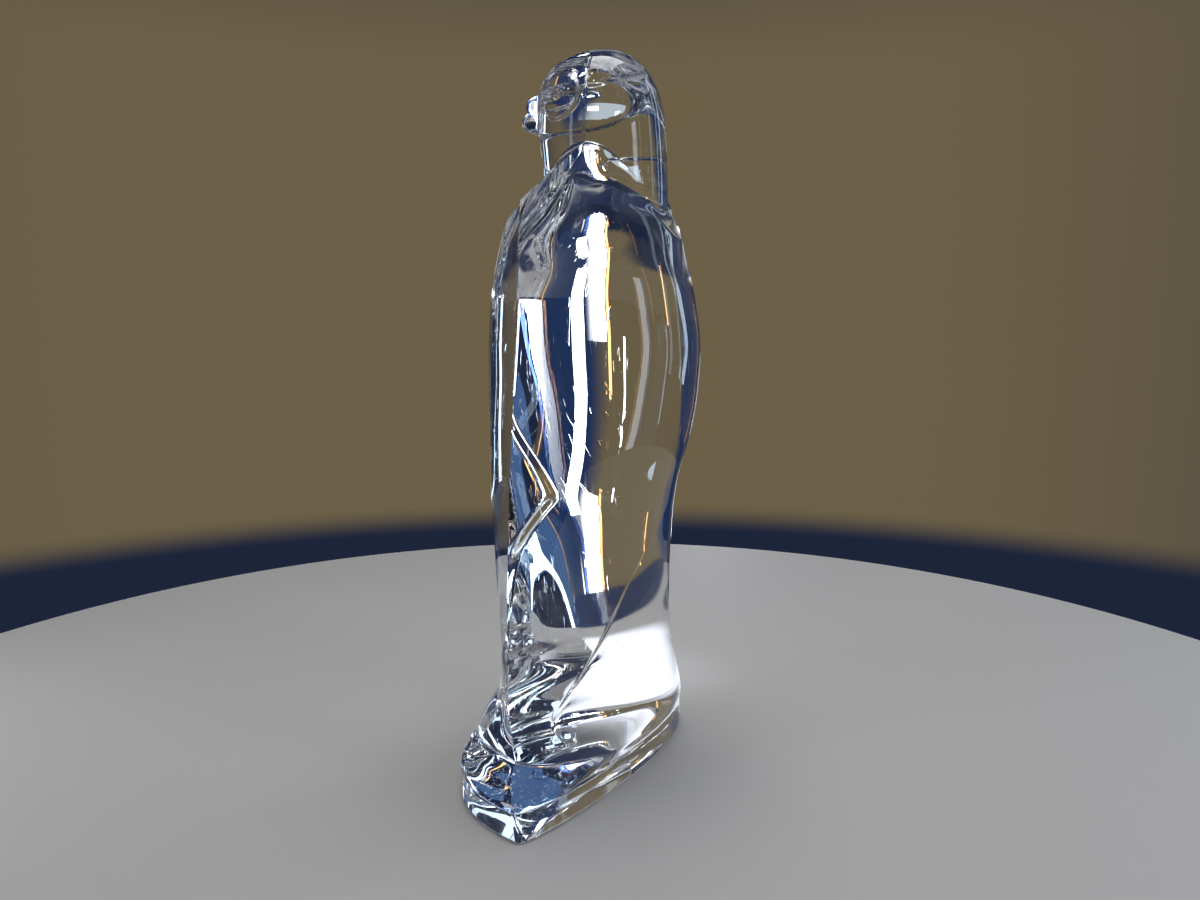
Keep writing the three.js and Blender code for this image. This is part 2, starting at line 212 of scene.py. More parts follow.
@dataclass(frozen=True)
class Face:
    """Where the features of each side of the face lie.

    Turns are degrees from the beak, and what is wide is in degrees too. Levels, and what is
    tall, thick, above or below, are shares of the height. Edges are where a step starts and ends.
    """

    crown: tuple = (0.965, 0.988)
    hood_blur: float = 1.0
    beak_power: float = 2.2
    cheek_turn: float = 60.0
    cheek_level: float = 0.929
    cheek_wide: float = 22.5
    cheek_tall: float = 0.031
    cheek_edge: tuple = (0.84, 1.04)
    brow_turn: float = 47.0
    brow_level: float = 0.9535
    brow_wide: float = 28.0
    brow_tall: float = 0.0135
    brow_edge: tuple = (0.55, 1.15)
    lid_level: float = 0.9385
    lid_sag: float = 0.002
    lid_wide: float = 16.0
    lid_thick: float = 0.0017
    lid_ends: tuple = (15, 21)
    lid_share: float = 0.5
    eye_turn: float = 52.0
    eye_level: float = 0.9325
    eye_wide: float = 14.0
    eye_above: float = 0.0052
    eye_below: float = 0.0085
    eye_edge: tuple = (0.75, 1.1)
    ball_level: float = 0.9315
    ball_wide: float = 9.0
    ball_tall: float = 0.0068
    ball_edge: tuple = (0.2, 1.0)
    ball_share: float = 0.6


@dataclass
class FalconForm:
    """The falcon's surface, given by a direction around the upright axis and a level.

    All lengths are shares of the height, and directions are degrees from the back ridge,
    positive towards the bird's right. The hood crease's is counted from the beak.
    """

    beak_turn: float = -69.5
    hood_crease: float = 87.5
    neck_offset: float = 1.9 * MM
    rim_height: float = 2.0 * MM
    rim_width: float = 1.6 * MM
    rim_spread: float = 22.0 * MM
    collar_step: float = 1.3 * MM
    collar_edge: float = 1.0 * MM
    hood_step: float = 0.7 * MM
    cheek_height: float = 0.9 * MM
    brow_height: float = 0.8 * MM
    eye_depth: float = 1.0 * MM
    foot_bevel: float = 0.8 * MM
    shoulder_start: float = 0.715
    side_start: float = 0.775
    side_gap: float = 0.03
    shoulder_power: float = 1.7
    start_turns: tuple = (8, 34)
    power_turns: tuple = (20, 48)
    collar_level: float = 0.787
    neck_middle: float = 0.826
    neck_swing: float = 0.042
    offset_end: float = 0.8
    face: Face = field(default_factory=Face)
    curves: dict = field(default_factory=dict)

    def __post_init__(self) -> None:
        """Prepares the smooth curves."""
        for i, key in enumerate(SECTION_KEYS):
            pairs = [(row[0], row[i + 1]) for row in SECTIONS]
            self.curves[key] = Profile(pairs, 0.010, 0.05)
        self.curves["edge"] = Profile(WING_EDGE, 0.006, 0.02)
        self.curves["rim"] = Profile(WING_RIM, 0.006)
        self.curves["face"] = Profile(FACE_REACH, 0.0)
        self.curves["nape"] = Profile(NAPE_REACH, 0.0)
        self.curves["side"] = Profile(SIDE_REACH, 0.0)
        self.curves["beak"] = Profile(BEAK_REACH, 0.0012)
        self.curves["spread"] = Profile(BEAK_SPREAD, 0.002)

    def _outline(self, side: np.ndarray, t: np.ndarray, s: dict) -> tuple:
        """A point of a cross-section.

        Args:
            side: 1 on the right, -1 on the left.
            t: 0 at the ridge, 1 at the widest place, 2 at the breast.
            s: the cross-section's values.

        Returns:
            Forward and rightward distances.
        """
        a = np.clip(t, 0, 1) * (math.pi / 2)
        b = np.clip(t - 1, 0, 1) * (math.pi / 2)
        wide = np.where(side > 0, s["wide_right"], s["wide_left"])
        half = np.where(side > 0, s["right"], s["left"])
        shape = mix(1 - a / (math.pi / 2), np.cos(a), s["full"])
        rear = wide - (s["rear"] + wide) * shape
        front = mix(wide, s["front"], np.sin(b))
        forward = np.where(t <= 1, rear, front)
        behind = mix(s["shift"], side * half, np.sin(a))
        right = np.where(t <= 1, behind, side * half * np.cos(b))
        return forward, right

    def section(self, level: np.ndarray) -> dict:
        """Reads all cross-section values, by name, at some levels."""
        return {key: self.curves[key](level) for key in SECTION_KEYS}

    def section_reach(self, side: np.ndarray, turn: np.ndarray, level: np.ndarray) -> np.ndarray:
        """Reach of the plain cross-section in a direction.

        Args:
            side: 1 on the right, -1 on the left.
            turn: directions in degrees.
            level: levels.

        Returns:
            Distances from the upright axis.
        """
        s = self.section(level)
        low = np.zeros_like(level)
        high = np.full_like(level, 2.0)
        for _ in range(SEARCH_STEPS):
            t = 0.5 * (low + high)
            forward, right = self._outline(side, t, s)
            found = np.degrees(np.arctan2(right * side, -forward))
            less = found < turn * side
            low = np.where(less, t, low)
            high = np.where(less, high, t)
        forward, right = self._outline(side, 0.5 * (low + high), s)
        return np.hypot(forward, right)

    def body_reach(self, side: np.ndarray, turn: np.ndarray, level: np.ndarray) -> np.ndarray:
        """Reach of the body: the wing stands proud of the breast, thigh and tail beside it.

        Args:
            side: 1 on the right, -1 on the left.
            turn: directions in degrees.
            level: levels.

        Returns:
            Distances from the upright axis.
        """
        reach = self.section_reach(side, turn, level)
        away = np.radians(side * turn - self.curves["edge"](level)) * reach
        step = ease(0.0, self.rim_width, away)
        fade = bump(np.maximum(away - self.rim_width, 0.0), self.rim_spread)
        return reach - self.rim_height * self.curves["rim"](level) * step * fade

    def neck_level(self, turn: np.ndarray) -> np.ndarray:
        """Level of the line where the turned head meets the collar, by direction."""
        around = np.radians(2 * (turn - self.beak_turn - self.hood_crease))
        return self.neck_middle + self.neck_swing * np.cos(around)

    def collar(self, turn: np.ndarray) -> tuple:
        """The collar's own edge, which stands out from the neck as far as the back ridge.

        Args:
            turn: directions in degrees.

        Returns:
            Levels and reaches.
        """
        side = np.where(turn < 0, -1.0, 1.0)
        corner = self.beak_turn + self.hood_crease
        join_level = self.neck_level(side * corner)
        join_reach = self.head_reach(side * corner, join_level) + self.collar_step
        near_level = self.neck_level(turn) - self.collar_edge
        near_reach = self.head_reach(turn, near_level) + self.collar_step
        back = float(self.curves["rear"](self.collar_level))
        join_forward = join_reach * math.cos(math.radians(corner))
        join_right = join_reach * math.sin(math.radians(corner))
        slope = np.tan(np.radians(np.minimum(np.abs(turn), corner)))
        t = back * slope / (join_right - (join_forward - back) * slope)
        far_level = mix(self.collar_level, join_level - self.collar_edge, t)
        far_reach = np.hypot(mix(back, join_forward, t), join_right * t)
        behind = np.abs(turn) < corner
        return np.where(behind, far_level, near_level), np.where(behind, far_reach, near_reach)

    def head_reach(self, turn: np.ndarray, level: np.ndarray) -> np.ndarray:
        """Reach of the neck and head, with hood crease, brow, eye, cheek and beak.

        Args:
            turn: directions in degrees.
            level: levels.

        Returns:
            Distances from the upright axis.
        """
        face = self.face
        away = np.abs((turn - self.beak_turn + 540.0) % 360.0 - 180.0)
        ends = np.where(away < 90, self.curves["face"](level), self.curves["nape"](level))
        c = np.cos(np.radians(away)) / ends
        s = np.sin(np.radians(away)) / self.curves["side"](level)
        reach = 1.0 / np.hypot(c, s)
        below_crown = 1 - ease(*face.crown, level)
        ahead = 1 - ease(self.hood_crease - face.hood_blur, self.hood_crease + face.hood_blur, away)
        reach = reach - self.hood_step * below_crown * ahead
        sharp = (away / self.curves["spread"](level)) ** face.beak_power
        reach = reach + self.curves["beak"](level) * np.exp(-sharp)
        disc = np.hypot((away - face.cheek_turn) / face.cheek_wide,
                        (level - face.cheek_level) / face.cheek_tall)
        reach = reach + self.cheek_height * (1 - ease(*face.cheek_edge, disc))
        patch = (np.abs((away - face.brow_turn) / face.brow_wide) ** 3
                 + np.abs((level - face.brow_level) / face.brow_tall) ** 3)
        reach = reach + self.brow_height * (1 - ease(*face.brow_edge, patch))
        from_eye = away - face.eye_turn
        lid_level = face.lid_level - face.lid_sag * (from_eye / face.lid_wide) ** 2
        lid = bump(level - lid_level, face.lid_thick) * (1 - ease(*face.lid_ends, np.abs(from_eye)))
        reach = reach - face.lid_share * self.eye_depth * lid
        up = level - face.eye_level
        rim = np.where(up > 0, up / face.eye_above, -up / face.eye_below)
        eye = np.hypot(from_eye / face.eye_wide, rim)
        reach = reach - self.eye_depth * (1 - ease(*face.eye_edge, eye))
        ball = np.hypot(from_eye / face.ball_wide, (level - face.ball_level) / face.ball_tall)
        return reach + face.ball_share * self.eye_depth * (1 - ease(*face.ball_edge, ball))

    def shoulder_reach(self, side: np.ndarray, turn: np.ndarray, level: np.ndarray) -> np.ndarray:
        """Reach between the body's upper sections and the collar's edge.

        Args:
            side: 1 on the right, -1 on the left.
            turn: directions in degrees.
            level: levels.

        Returns:
            Distances from the upright axis.
        """
        collar_level, collar_reach = self.collar(turn)
        late = np.minimum(self.side_start, collar_level - self.side_gap)
        start = mix(self.shoulder_start, late, ease(*self.start_turns, np.abs(turn)))
        t = np.clip((level - start) / (collar_level - start), 0, 1)
        smooth = t * t * (3 - 2 * t)
        share = mix(t ** self.shoulder_power, smooth, ease(*self.power_turns, np.abs(turn)))
        return mix(self.body_reach(side, turn, level), collar_reach, share)

    def point(self, turn: np.ndarray, level: np.ndarray, reach: np.ndarray) -> np.ndarray:
        """Place in the part's frame, as shares of the height.

        Args:
            turn: directions in degrees.
            level: levels.
            reach: distances from the axis.

        Returns:
            An array of x, y and z.
        """
        shift = self.neck_offset * ease(SHOULDER_LEVEL, self.offset_end, level)
        right = reach * np.sin(np.radians(turn)) + shift
        back = reach * np.cos(np.radians(turn))
        return np.stack([-right, back, level], axis=-1)


class Zone(Enum):
    """Stretches of the surface that take their shape in different ways."""

    BODY = 0
    SHOULDER = 1
    SHELF = 2
    NECK = 3
    HEAD = 4


@dataclass(frozen=True)
class Band:
    """A stretch of rings between two levels, or between two shares of a zone."""

    zone: Zone
    low: float
    high: float
    rings: int


@dataclass
class FalconBody:
    """The crystal block: rings of points raised from the ground to the crown."""

    form: FalconForm
    name: str = "crystal_falcon_polished"
    bands: tuple = (
        Band(Zone.BODY, 0.0, 0.0033, 3),
        Band(Zone.BODY, 0.0033, 0.0345, 8),
        Band(Zone.BODY, 0.0345, 0.0375, 6),
        Band(Zone.BODY, 0.0375, 0.060, 22),
        Band(Zone.BODY, 0.060, 0.120, 26),
        Band(Zone.BODY, 0.120, 0.330, 46),
        Band(Zone.BODY, 0.330, 0.430, 32),
        Band(Zone.BODY, 0.430, SHOULDER_LEVEL, 46),
        Band(Zone.SHOULDER, 0.0, 1.0, 34),
        Band(Zone.SHELF, 0.0, 1.0, 8),
        Band(Zone.NECK, 0.0, 1.0, 14),
        Band(Zone.HEAD, HEAD_LEVEL, 0.9705, 74),
        Band(Zone.HEAD, 0.9705, 0.9993, 18),
    )
    right_stops: tuple = ((0, 0), (5, 16.8), (6, 19.2), (28, 180))
    left_stops: tuple = (
        (0, 0), (5, -18), (14, -58), (22, -81), (30, -113), (36, -155.8), (37, -158.2), (39, -180),
    )
    ridge_turns: tuple = (0, 2.2, 4.8, 8.0, 12.4)
    wing_columns: tuple = (13, 17)
    finer: int = 4
    shelf_power: float = 1.3
    longest_cut: int = 80
    smooth_angle: float = 38.0
    origin: Vector = field(default_factory=Vector)

    def column_turns(self, stops: tuple, index: np.ndarray) -> np.ndarray:
        """Directions of the head's columns.

        Args:
            stops: pairs of column and direction.
            index: column numbers, which may be fractions.

        Returns:
            Directions in degrees.
        """
        x = [s[0] for s in stops]
        y = [s[1] for s in stops]
        turns = np.interp(index, x, y)
        near = np.interp(index, range(x[1] + 1), [*self.ridge_turns, abs(y[1])])
        return np.where(index <= x[1], near * (1 if y[1] > 0 else -1), turns)

    def body_turns(self, side: int, index: np.ndarray, level: float) -> np.ndarray:
        """Directions of the body's columns at one level, even along the outline.

        Args:
            side: 1 on the right, -1 on the left.
            index: column numbers, which may be fractions.
            level: the level.

        Returns:
            Directions in degrees.
        """
        form = self.form
        wing = self.wing_columns[0 if side > 0 else 1]
        last = self.right_stops[-1][0] if side > 0 else self.left_stops[-1][0]
        t = np.linspace(0, 2, OUTLINE_SAMPLES)
        s = {k: np.full_like(t, v) for k, v in form.section(np.array(level)).items()}
        forward, right = form._outline(np.full_like(t, side), t, s)
        run = np.r_[0, np.cumsum(np.hypot(np.diff(forward), np.diff(right)))]
        turn = np.degrees(np.arctan2(right * side, -forward))
        edge = float(form.curves["edge"](level))
        wing_run = np.interp(edge, turn, run)
        rim_run = wing_run + form.rim_width
        share = (index - wing - 1) / (last - wing - 1)
        here = np.where(index <= wing, wing_run * index / wing,
                        np.where(index <= wing + 1, mix(wing_run, rim_run, index - wing),
                                 mix(rim_run, run[-1], share)))
        return side * np.interp(here, run, turn)

    def rows(self) -> list:
        """All rings as pairs of zone and level or share.

        Returns:
            The rings from the ground upwards.
        """
        rings = [(Zone.BODY, 0.0)]
        for band in self.bands:
            for i in range(1, band.rings + 1):
                rings.append((band.zone, mix(band.low, band.high, i / band.rings)))
        return rings

    def columns(self) -> tuple:
        """Side and fractional column number of each point of a ring.

        Returns:
            Two arrays.
        """
        right_last = self.right_stops[-1][0]
        left_last = self.left_stops[-1][0]
        right = np.linspace(0, right_last, right_last * self.finer + 1)
        left = np.linspace(0, left_last, left_last * self.finer + 1)[1:-1][::-1]
        side = np.r_[np.ones(len(right)), -np.ones(len(left))]
        return side, np.r_[right, left]

    def ring_places(self) -> np.ndarray:
        """Places of all rings' points.

        Returns:
            An array of rings by columns by x, y and z, in shares of the height.
        """
        form = self.form
        side, index = self.columns()
        head = np.where(side > 0, self.column_turns(self.right_stops, index),
                        self.column_turns(self.left_stops, index))
        right = side > 0
        result = []
        for zone, value in self.rows():
            if zone in (Zone.BODY, Zone.SHOULDER):
                nominal = value
                if zone is Zone.SHOULDER:
                    nominal = mix(SHOULDER_LEVEL, form.collar_level, value)
                turn = np.empty_like(index)
                turn[right] = self.body_turns(1, index[right], nominal)
                turn[~right] = self.body_turns(-1, index[~right], nominal)
            if zone is Zone.BODY:
                level = np.full_like(index, value)
                reach = form.body_reach(side, turn, level)
                inset = form.foot_bevel * (1 - math.sin(min(value / form.foot_bevel, 1) * math.pi / 2))
                reach = reach - inset
            elif zone is Zone.SHOULDER:
                turn = mix(turn, head, ease(0.0, 1.0, np.array(value)))
                level = mix(SHOULDER_LEVEL, form.collar(turn)[0], value)
                reach = form.shoulder_reach(side, turn, level)
            else:
                turn = head
                neck = form.neck_level(turn)
                if zone is Zone.SHELF:
                    collar_level, collar_reach = form.collar(turn)
                    level = mix(collar_level, neck, value)
                    out = (1 - value) ** self.shelf_power
                    reach = mix(form.head_reach(turn, neck), collar_reach, out)
                elif zone is Zone.NECK:
                    level = mix(neck, HEAD_LEVEL, value)
                    reach = form.head_reach(turn, level)
                else:
                    level = np.full_like(index, value)
                    reach = form.head_reach(turn, level)
            result.append(form.point(turn, level, reach))
        return np.array(result)

    def build(self) -> bpy.types.Object:
        """Raises the block ring by ring and gives it its carved shape.

        Returns:
            The finished object.
        """
        places = self.ring_places()
        rings, around = places.shape[:2]
        bpy.ops.object.select_all(action="DESELECT")
        bpy.ops.mesh.primitive_cylinder_add(vertices=around, radius=1.0, depth=1.0, end_fill_type="NGON")
        block = bpy.context.object
        block.name = self.name
        bpy.ops.object.mode_set(mode="EDIT")
        bpy.ops.mesh.select_mode(type="FACE")
        mesh = bmesh.from_edit_mesh(block.data)
        cuts = []
        left = rings - 1
        while left > 0:
            cuts.append(min(self.longest_cut, left))
            left -= cuts[-1]
        heights = np.r_[0, np.cumsum(cuts)]
        for vert in mesh.verts:
            vert.co.z = 0.0 if vert.co.z < 0 else float(heights[1])
        for face in mesh.faces:
            face.select_set(face.normal.z > 0.9)
        bmesh.update_edit_mesh(block.data)
        for step in cuts[1:]:
            bpy.ops.mesh.extrude_region_move(TRANSFORM_OT_translate={"value": (0, 0, float(step))})
        bpy.ops.mesh.select_mode(type="EDGE")
        for low, high, step in zip(heights[:-1], heights[1:], cuts):
            bpy.ops.mesh.select_all(action="DESELECT")
            mesh = bmesh.from_edit_mesh(block.data)
            for edge in mesh.edges:
                a, b = edge.verts[0].co.z, edge.verts[1].co.z
                edge.select_set(min(a, b) < low + 0.01 and max(a, b) > high - 0.01)
            bmesh.update_edit_mesh(block.data)
            if step > 1:
                bpy.ops.mesh.subdivide(number_cuts=int(step) - 1)
        mesh = bmesh.from_edit_mesh(block.data)
        bpy.ops.mesh.select_mode(type="FACE")
        for face in mesh.faces:
            face.select_set(len(face.verts) > 4)
        bmesh.update_edit_mesh(block.data)
        bpy.ops.mesh.poke()
        bpy.ops.object.mode_set(mode="OBJECT")
        self.carve(block, places)
        return block

    def carve(self, block: bpy.types.Object, places: np.ndarray) -> None:
        """Moves each point of the raised cylinder to its place on the falcon.

        Args:
            block: the cylinder with its rings.
            places: places of the rings' points.
        """
        rings, around = places.shape[:2]
        data = block.data
        flat = np.empty(len(data.vertices) * 3)
        data.vertices.foreach_get("co", flat)
        co = flat.reshape(-1, 3)
        ring = np.clip(np.rint(co[:, 2]).astype(int), 0, rings - 1)
        # The rings run from the back to the right, as seen from above from +Y to -X
        angle = np.degrees(np.arctan2(-co[:, 0], co[:, 1])) % 360.0
        column = np.rint(angle / 360.0 * around).astype(int) % around
        target = places[ring, column]
        middle = np.hypot(co[:, 0], co[:, 1]) < 0.5
        low_middle = middle & (co[:, 2] < 0.5)
        high_middle = middle & (co[:, 2] > 0.5)
        target[low_middle] = (0.0, 0.0, 0.0)
        target[high_middle] = self.form.point(np.array([0.0]), np.array([1.0]), np.array([0.0]))[0]
        low, high = target.min(axis=0), target.max(axis=0)
        box_low, box_high = (np.array(c, float) for c in CAD_BOX)
        share = (box_high - box_low) / (high - low)
        target = box_low + (target - low) * share
        self.origin = Vector((*(box_low - low * share)[:2], 0.0))
        data.vertices.foreach_set("co", target.ravel())
        data.update()
        bpy.ops.object.select_all(action="DESELECT")
        block.select_set(True)
        bpy.context.view_layer.objects.active = block
        bpy.ops.object.shade_smooth_by_angle(angle=math.radians(self.smooth_angle))


@dataclass(frozen=True)
class CrystalFinish:
    """Clear lead crystal, polished, with the slight waves of hand polishing and fine wear scratches."""

    name: str = "crystal_clear"
    tint: tuple = (0.985, 0.992, 1.0, 1.0)
    ior: float = 1.545
    wave_size: float = 42.0
    wave_depth: float = 0.00007
    scratch_size: float = 900.0
    scratch_depth: float = 0.000008
    scratch_turns: tuple = (0.35, 1.9)
    scratch_stretch: float = 0.09
    scratch_edge: tuple = (0.775, 0.735)

    def make(self) -> bpy.types.Material:
        """Makes the material.

        Returns:
            The material.
        """
        material = bpy.data.materials.new(self.name)
        material.use_nodes = True
        tree = material.node_tree
        shader = tree.nodes["Principled BSDF"]
        shader.inputs["Base Color"].default_value = self.tint
        shader.inputs["Roughness"].default_value = 0.0
        shader.inputs["IOR"].default_value = self.ior
        shader.inputs["Transmission Weight"].default_value = 1.0
        place = tree.nodes.new("ShaderNodeTexCoord")
        wave = tree.nodes.new("ShaderNodeTexNoise")
        wave.inputs["Scale"].default_value = self.wave_size
        wave.inputs["Detail"].default_value = 0.0
        tree.links.new(place.outputs["Object"], wave.inputs["Vector"])
        waves = tree.nodes.new("ShaderNodeBump")
        waves.inputs["Distance"].default_value = self.wave_depth
        tree.links.new(wave.outputs["Fac"], waves.inputs["Height"])
        scratches = tree.nodes.new("ShaderNodeBump")
        scratches.inputs["Distance"].default_value = self.scratch_depth
        tree.links.new(self._scratches(tree, place), scratches.inputs["Height"])
        tree.links.new(waves.outputs["Normal"], scratches.inputs["Normal"])
        tree.links.new(scratches.outputs["Normal"], shader.inputs["Normal"])
        return material

    def _scratches(self, tree: bpy.types.NodeTree, place: bpy.types.Node) -> bpy.types.NodeSocket:
        """Fine scratches in two directions, broken up into short runs.

        Args:
            tree: the material's nodes.
            place: the node that gives Object coordinates.

        Returns:
            The height of the scratches, 1 where the surface is whole.
        """
        height = None
        for turn in self.scratch_turns:
            mapping = tree.nodes.new("ShaderNodeMapping")
            mapping.inputs["Location"].default_value = (turn, turn * 2.0, turn * 3.0)
            mapping.inputs["Rotation"].default_value = (turn, turn * 0.6, turn * 1.7)
            mapping.inputs["Scale"].default_value = (1.0, 1.0, self.scratch_stretch)
            tree.links.new(place.outputs["Object"], mapping.inputs["Vector"])
            rare = tree.nodes.new("ShaderNodeTexNoise")
            rare.inputs["Scale"].default_value = self.scratch_size
            rare.inputs["Detail"].default_value = 0.0
            tree.links.new(mapping.outputs["Vector"], rare.inputs["Vector"])
            line = tree.nodes.new("ShaderNodeMapRange")
            line.inputs["From Min"].default_value = self.scratch_edge[0]
            line.inputs["From Max"].default_value = self.scratch_edge[1]
            tree.links.new(rare.outputs["Fac"], line.inputs["Value"])
            if height is None:
                height = line.outputs["Result"]
            else:
                both = tree.nodes.new("ShaderNodeMath")
                both.operation = "MINIMUM"
                tree.links.new(height, both.inputs[0])
                tree.links.new(line.outputs["Result"], both.inputs[1])
                height = both.outputs["Value"]
        return height


@dataclass(frozen=True)
class SeedFinish:
    """The skin of a tiny bubble sealed in the crystal."""

    name: str = "crystal_seed"
    tint: tuple = (0.97, 0.985, 1.0, 1.0)
    ior: float = 1.42

    def make(self) -> bpy.types.Material:
        """Makes the material.

        Returns:
            The material.
        """
        material = bpy.data.materials.new(self.name)
        material.use_nodes = True
        shader = material.node_tree.nodes["Principled BSDF"]
        shader.inputs["Base Color"].default_value = self.tint
        shader.inputs["Roughness"].default_value = 0.05
        shader.inputs["IOR"].default_value = self.ior
        shader.inputs["Transmission Weight"].default_value = 1.0
        return material


@dataclass
class SealedSeeds:
    """Tiny bubbles sealed in the block, from above the foot to the head."""

    form: FalconForm
    body: FalconBody
    count: int = 46
    smallest: float = 0.00012
    largest: float = 0.00034
    turns: tuple = (-175, 175)
    levels: tuple = (0.12, 0.95)
    depths: tuple = (0.25, 0.88)
    name: str = "sealed_seeds"

    def build(self) -> bpy.types.Object:
        """Makes one bubble, copies it to every place and joins the copies.

        Returns:
            The joined object.
        """
        draw = np.random.default_rng(11)
        turn = draw.uniform(*self.turns, self.count)
        level = draw.uniform(*self.levels, self.count)
        share = draw.uniform(*self.depths, self.count)
        size = self.smallest + (self.largest - self.smallest) * draw.uniform(0, 1, self.count) ** 2
        side = np.where(turn < 0, -1.0, 1.0)
        body = self.form.body_reach(side, turn, np.minimum(level, SHOULDER_LEVEL))
        head = self.form.head_reach(turn, np.maximum(level, self.form.offset_end))
        reach = np.where(level < SHOULDER_LEVEL, body, np.minimum(body, head))
        places = self.form.point(turn, level, reach * share) * HEIGHT + np.array(self.body.origin)
        bpy.ops.object.select_all(action="DESELECT")
        bpy.ops.mesh.primitive_ico_sphere_add(subdivisions=2, radius=1.0)
        first = bpy.context.object
        bpy.ops.object.shade_smooth()
        seeds = []
        for place, radius in zip(places, size):
            seed = first.copy()
            seed.data = first.data.copy()
            seed.data.transform(Matrix.Translation(Vector(place)) @ Matrix.Scale(float(radius), 4))
            bpy.context.scene.collection.objects.link(seed)
            seeds.append(seed)
        bpy.data.objects.remove(first)
        bpy.ops.object.select_all(action="DESELECT")
        for seed in seeds:
            seed.select_set(True)
        bpy.context.view_layer.objects.active = seeds[0]
        bpy.ops.object.join()
        seeds[0].name = self.name
        return seeds[0]


@dataclass(frozen=True)
class PlainFinish:
    """A plain, soft surface of the studio."""

    name: str
    colour: tuple
    roughness: float = 0.6

    def make(self) -> bpy.types.Material:
        """Makes the material.

        Returns:
            The material.
        """
        material = bpy.data.materials.new(self.name)
        material.use_nodes = True
        shader = material.node_tree.nodes["Principled BSDF"]
        shader.inputs["Base Color"].default_value = (*self.colour, 1.0)
        shader.inputs["Roughness"].default_value = self.roughness
        shader.inputs["Specular IOR Level"].default_value = 0.2
        return material


class Gel(Enum):
    """Colours of the sheets in front of the soft boxes."""

    WHITE = (1.0, 0.99, 0.97)
    ICE = (0.86, 0.92, 1.0)
    SKY = (0.62, 0.80, 1.0)
    DEEP = (0.20, 0.45, 1.0)
    BLUE = (0.15, 0.30, 1.0)
    AMBER = (1.0, 0.55, 0.20)


@dataclass(frozen=True)
class SoftBox:
    """One soft studio light, placed around the bird.

    Turns are degrees around the bird, 0 beyond it and 90 on the camera's right.
    """

    name: str
    turn: float
    reach: float
    up: float
    size: tuple
    glow: float
    gel: Gel
    aim: float = 0.12

    def make(self, studio: "Studio") -> None:
        """Hangs the light.

        Args:
            studio: the studio that it hangs in.
        """
        data = bpy.data.lights.new(self.name, "AREA")
        data.shape = "RECTANGLE"
        data.size, data.size_y = self.size
        data.energy = self.glow * math.pi * self.size[0] * self.size[1]
        data.color = self.gel.value
        light = bpy.data.objects.new(self.name, data)
        bpy.context.scene.collection.objects.link(light)
        light.location = studio.spot(self.turn, self.reach, self.up)
        way = Vector((0.0, 0.0, self.aim)) - light.location
        light.rotation_mode = "QUATERNION"
        light.rotation_quaternion = way.to_track_quat("-Z", "Y")
        light.visible_camera = False


def soft_ramp(
    tree: bpy.types.NodeTree, source: bpy.types.NodeSocket, start: float, end: float
) -> bpy.types.NodeSocket:
    """Adds a node that rises smoothly from 0 to 1.

    Args:
        tree: the material's nodes.
        source: the value that it follows.
        start: the value where it is 0.
        end: the value where it is 1.

    Returns:
        The node's result.
    """
    ramp = tree.nodes.new("ShaderNodeMapRange")
    ramp.interpolation_type = "SMOOTHSTEP"
    ramp.inputs["From Min"].default_value = start
    ramp.inputs["From Max"].default_value = end
    tree.links.new(source, ramp.inputs["Value"])
    return ramp.outputs["Result"]


class CardGlow(Enum):
    """Colours that the cards glow with, seen only in the crystal: the dark ones are painted shade, the
    bright one painted light.
    """

    NAVY = (0.010, 0.028, 0.085, 1.0)
    NIGHT = (0.006, 0.015, 0.044, 1.0)
    INK = (0.010, 0.020, 0.058, 1.0)
    # Brighter than white: a painted glow of light
    BRIGHT = (1.35, 1.42, 1.60, 1.0)


